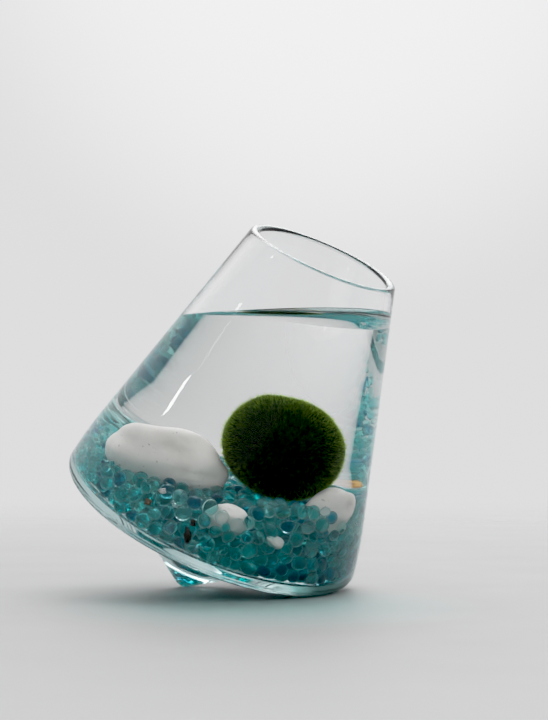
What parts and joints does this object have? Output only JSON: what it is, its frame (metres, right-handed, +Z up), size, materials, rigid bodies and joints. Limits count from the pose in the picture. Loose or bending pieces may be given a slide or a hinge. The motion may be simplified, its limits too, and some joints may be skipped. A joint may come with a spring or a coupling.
{
  "type": "marimo moss ball in a tilting glass bowl",
  "caption": "Round green moss ball resting on sea-green glass gravel and white pebbles, under water in a clear tapering glass bowl that leans on a pointed nub.",
  "frame": {"origin": "where the pointed nub under the bowl touches the table", "axes": "+Z up from the table; the bowl's axis leans 28.6 degrees from +Z towards +X, and XZ is the plane of the lean"},
  "size_m": [0.1037, 0.0948, 0.1112],
  "materials": {
    "clear_glass": "polished clear glass",
    "water": "clear still water",
    "glass_gravel": "tumbled translucent sea-green glass grains",
    "white_pebble": "smooth matt white stone",
    "moss": "velvety green filaments"
  },
  "bodies": {
    "root": {"glass_vessel": "clear_glass", "water": "water", "gravel_bed": "glass_gravel", "stone_left": "white_pebble", "stone_right": "white_pebble", "stone_front": "white_pebble", "stone_small": "white_pebble", "marimo_ball": "moss"}
  },
  "joints": []
}
